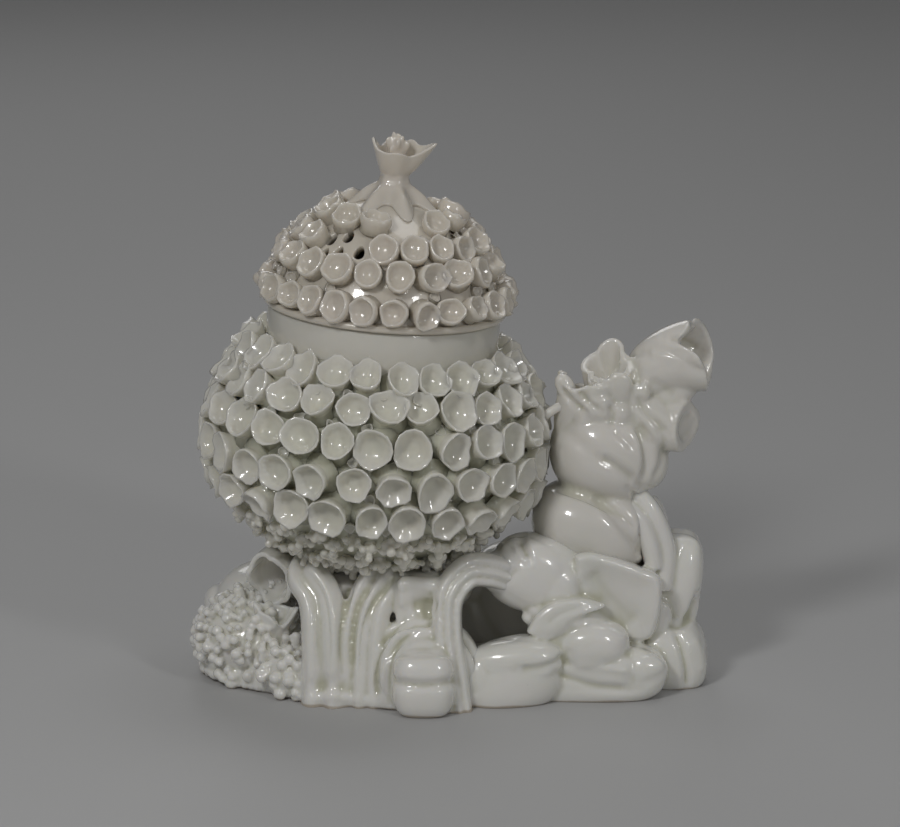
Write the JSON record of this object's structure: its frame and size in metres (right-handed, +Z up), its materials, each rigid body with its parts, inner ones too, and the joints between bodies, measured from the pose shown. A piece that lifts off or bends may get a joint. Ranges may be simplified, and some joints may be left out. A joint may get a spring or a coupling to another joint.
{
  "type": "potpourri vase",
  "caption": "White glazed porcelain potpourri vase: a bowl and pierced lid covered with blossoms, on a rocaille base beside a twisted tree trunk.",
  "frame": {"origin": "middle of the bounding box's footprint, on the ground", "axes": "+Z up, -Y towards the front, +X towards the tree trunk"},
  "size_m": [0.1806, 0.1216, 0.1899],
  "materials": {
    "glazed_porcelain": "gloss"
  },
  "bodies": {
    "vase": {"bowl_shell": "glazed_porcelain", "bowl_blossoms_1": "glazed_porcelain", "bowl_blossoms_2": "glazed_porcelain", "bowl_blossoms_3": "glazed_porcelain", "bowl_blossoms_4": "glazed_porcelain", "bowl_blossoms_5": "glazed_porcelain", "bowl_blossoms_6": "glazed_porcelain", "bowl_blossoms_7": "glazed_porcelain", "bowl_sprigs_1": "glazed_porcelain", "bowl_sprigs_2": "glazed_porcelain", "plinth": "glazed_porcelain", "scroll_foot": "glazed_porcelain", "arch_right": "glazed_porcelain", "fall_middle": "glazed_porcelain", "fall_left": "glazed_porcelain", "scroll_rings": "glazed_porcelain", "niche": "glazed_porcelain", "shoulder_rock": "glazed_porcelain", "front_slab": "glazed_porcelain", "oval_boulder": "glazed_porcelain", "leaf_boulder": "glazed_porcelain", "front_left_boulder": "glazed_porcelain", "leaf_slab": "glazed_porcelain", "right_boulder": "glazed_porcelain", "trunk_middle": "glazed_porcelain", "trunk_upper": "glazed_porcelain", "branch_front": "glazed_porcelain", "trunk_flare": "glazed_porcelain", "branch_lower": "glazed_porcelain", "branch_upper": "glazed_porcelain", "back_slab": "glazed_porcelain", "folds": "glazed_porcelain", "trunk_root": "glazed_porcelain", "coral_mound": "glazed_porcelain", "shell_scoop": "glazed_porcelain", "coral_sprays": "glazed_porcelain", "crown_rock": "glazed_porcelain", "pillar_rock": "glazed_porcelain", "back_rock_left": "glazed_porcelain", "back_rock_middle": "glazed_porcelain", "back_rock_right": "glazed_porcelain", "back_boulder": "glazed_porcelain", "coral_balls": "glazed_porcelain", "twig": "glazed_porcelain"},
    "lid": {"lid_shell": "glazed_porcelain", "lid_blossoms_1": "glazed_porcelain", "lid_blossoms_2": "glazed_porcelain", "lid_blossoms_3": "glazed_porcelain", "lid_blossoms_4": "glazed_porcelain", "finial_sepals": "glazed_porcelain", "finial_petals": "glazed_porcelain", "finial_bud": "glazed_porcelain"}
  },
  "joints": [
    {"name": "lid_lift", "type": "slide", "parent": "vase", "child": "lid", "axis": [0.0785, 0, 0.9969], "range_m": [0, 0.06]}
  ]
}
